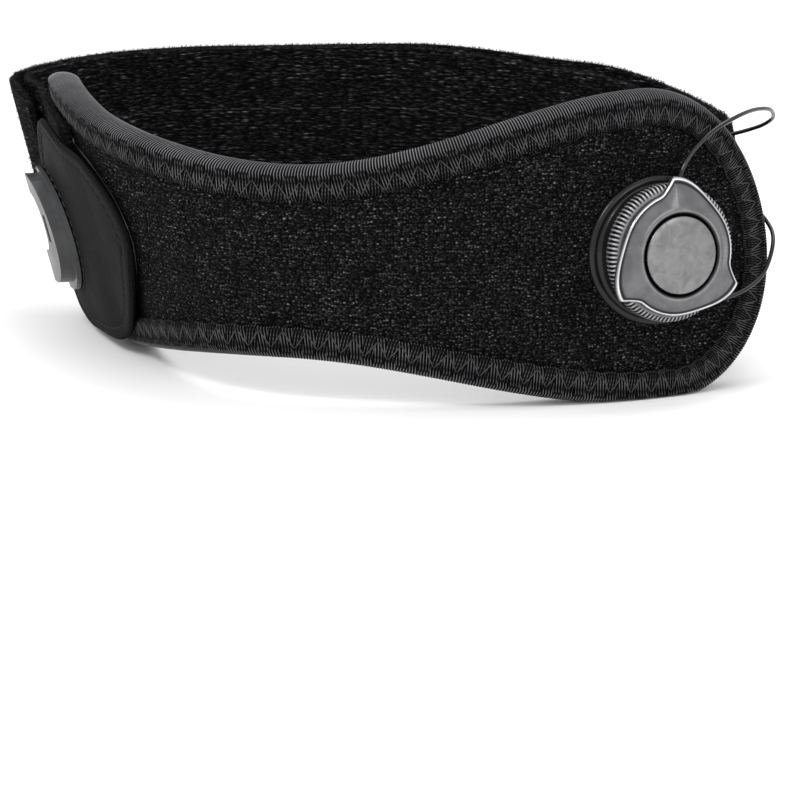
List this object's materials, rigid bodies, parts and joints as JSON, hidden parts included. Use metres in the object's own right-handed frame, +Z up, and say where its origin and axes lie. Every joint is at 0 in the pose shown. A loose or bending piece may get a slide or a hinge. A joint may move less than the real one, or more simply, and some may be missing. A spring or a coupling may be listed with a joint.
{
  "type": "patella strap",
  "caption": "Knee strap with a padded dog-bone front pad, a ribbed edge, a two-layer back strap and a dial that tightens it with a lace.",
  "frame": {"origin": "middle of the bounding box's underside, without the laces", "axes": "+Z up; the pad's front faces -Y; the lace dial is on the +X lobe; the back strap is towards +Y"},
  "size_m": [0.1958, 0.129, 0.0694],
  "materials": {
    "loop_fabric": "matte",
    "lining_knit": "matte",
    "ribbed_tape": "matte",
    "faux_leather": "satin",
    "hook_tape": "satin",
    "grey_plastic": "satin",
    "dark_plastic": "satin",
    "satin_metal": "satin",
    "lace_cable": "satin"
  },
  "bodies": {
    "strap": {"pad_face": "loop_fabric", "pad_lining": "lining_knit", "edge_binding": "ribbed_tape", "strap_inner": "loop_fabric", "strap_outer": "loop_fabric", "guide_patch": "faux_leather", "patch_backing": "hook_tape", "lace_guide": "grey_plastic", "dial_base": "dark_plastic", "lace_upper": "lace_cable", "lace_lower": "lace_cable", "lace_left": "lace_cable"},
    "knob": {"dial_knob": "dark_plastic", "dial_cap": "satin_metal", "dial_disc": "satin_metal"}
  },
  "joints": [
    {"name": "knob_turn", "type": "hinge", "parent": "strap", "child": "knob", "pos_m": [0.07442, -0.03413, 0.03361], "axis": [0.6174, -0.7817, 0.0875], "continuous": true}
  ]
}
